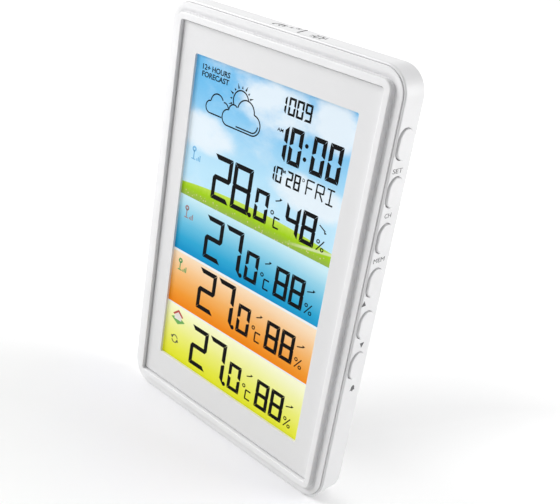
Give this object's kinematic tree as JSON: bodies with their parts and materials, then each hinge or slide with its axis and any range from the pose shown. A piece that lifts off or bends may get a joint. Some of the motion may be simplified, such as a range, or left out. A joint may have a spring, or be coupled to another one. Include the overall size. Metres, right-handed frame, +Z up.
{
  "type": "home weather station",
  "caption": "Upright white console with a tall colour segment display in a raised rim, keys down one side, and a fold-out leg and battery door on the back.",
  "frame": {"origin": "middle of the bounding box's foot, on the surface the console stands on", "axes": "+Z up, the display faces -Y, the row of keys is on the +X side, the back faces +Y"},
  "size_m": [0.1364, 0.024, 0.204],
  "materials": {
    "shell_white": "satin-gloss moulded white plastic",
    "key_white": "satin white moulded plastic",
    "face_grey": "fine matt light grey plate",
    "display_glass": "clear display glass with black segments",
    "colour_film": "printed colour film: sky, blue, orange and yellow bands",
    "clear_plastic": "clear moulded plastic",
    "sheet_white": "white film",
    "frame_plastic": "off-white plastic",
    "board_green": "green solder mask",
    "black_plastic": "black plastic",
    "rubber_strip": "layered conductive rubber",
    "tinned_metal": "tinned sheet metal",
    "screw_steel": "zinc-plated steel",
    "copper": "enamelled copper",
    "ferrite": "matt dark ferrite",
    "cell_sleeve": "plain shrink sleeve with a steel end",
    "ribbon": "grey flat cable"
  },
  "bodies": {
    "case": {"front_bezel": "shell_white", "rear_cover": "shell_white", "face_panel": "face_grey", "lcd_glass": "display_glass", "colour_film": "colour_film", "light_guide": "clear_plastic", "reflector_sheet": "sheet_white", "led_strip": "sheet_white", "backlight_frame": "frame_plastic", "zebra_strip": "rubber_strip", "main_board": "board_green", "receiver_module": "board_green", "switch_board": "board_green", "controller_chip": "black_plastic", "humidity_sensor": "black_plastic", "buzzer": "black_plastic", "capacitor": "black_plastic", "power_inlet": "black_plastic", "crystal_can": "tinned_metal", "pressure_sensor": "tinned_metal", "touch_leaf": "tinned_metal", "contact_minus": "tinned_metal", "contact_plus": "tinned_metal", "contact_bridge_left": "tinned_metal", "contact_bridge_right": "tinned_metal", "receiver_antenna": "copper", "clock_antenna_coil": "copper", "touch_pad": "copper", "ferrite_rod": "ferrite", "ribbon_cable": "ribbon", "tact_switch_set": "black_plastic", "tact_switch_channel": "black_plastic", "tact_switch_memory": "black_plastic", "tact_switch_up": "black_plastic", "tact_switch_down": "black_plastic", "tact_switch_alarm": "black_plastic", "battery_1": "cell_sleeve", "battery_2": "cell_sleeve", "battery_3": "cell_sleeve", "case_screw_1": "screw_steel", "board_screw_1": "screw_steel", "case_screw_2": "screw_steel", "board_screw_2": "screw_steel", "case_screw_3": "screw_steel", "board_screw_3": "screw_steel", "case_screw_4": "screw_steel", "board_screw_4": "screw_steel"},
    "battery_door": {"battery_door": "shell_white"},
    "stand_leg": {"stand_leg": "shell_white"},
    "key_set": {"key_set": "key_white"},
    "key_channel": {"key_channel": "key_white"},
    "key_memory": {"key_memory": "key_white"},
    "key_up": {"key_up": "key_white"},
    "key_down": {"key_down": "key_white"},
    "key_alarm": {"key_alarm": "key_white"}
  },
  "joints": [
    {"name": "press_set", "type": "slide", "parent": "case", "child": "key_set", "axis": [-1, 0, 0], "range_m": [0, 0.0006], "stiffness_N_per_m": 1200, "springref_m": -0.0003},
    {"name": "press_channel", "type": "slide", "parent": "case", "child": "key_channel", "axis": [-1, 0, 0], "range_m": [0, 0.0006], "stiffness_N_per_m": 1200, "springref_m": -0.0003},
    {"name": "press_memory", "type": "slide", "parent": "case", "child": "key_memory", "axis": [-1, 0, 0], "range_m": [0, 0.0006], "stiffness_N_per_m": 1200, "springref_m": -0.0003},
    {"name": "press_up", "type": "slide", "parent": "case", "child": "key_up", "axis": [-1, 0, 0], "range_m": [0, 0.0006], "stiffness_N_per_m": 1200, "springref_m": -0.0003},
    {"name": "press_down", "type": "slide", "parent": "case", "child": "key_down", "axis": [-1, 0, 0], "range_m": [0, 0.0006], "stiffness_N_per_m": 1200, "springref_m": -0.0003},
    {"name": "press_alarm", "type": "slide", "parent": "case", "child": "key_alarm", "axis": [-1, 0, 0], "range_m": [0, 0.0006], "stiffness_N_per_m": 1200, "springref_m": -0.0003},
    {"name": "leg_fold", "type": "hinge", "parent": "case", "child": "stand_leg", "pos_m": [-0.0004, 0.0101, 0.0618], "axis": [1, 0, 0], "range_deg": [0, 60]},
    {"name": "door_swing", "type": "hinge", "parent": "case", "child": "battery_door", "pos_m": [-0.0004, 0.012, 0.0702], "axis": [-1, 0, 0], "range_deg": [0, 50]}
  ]
}
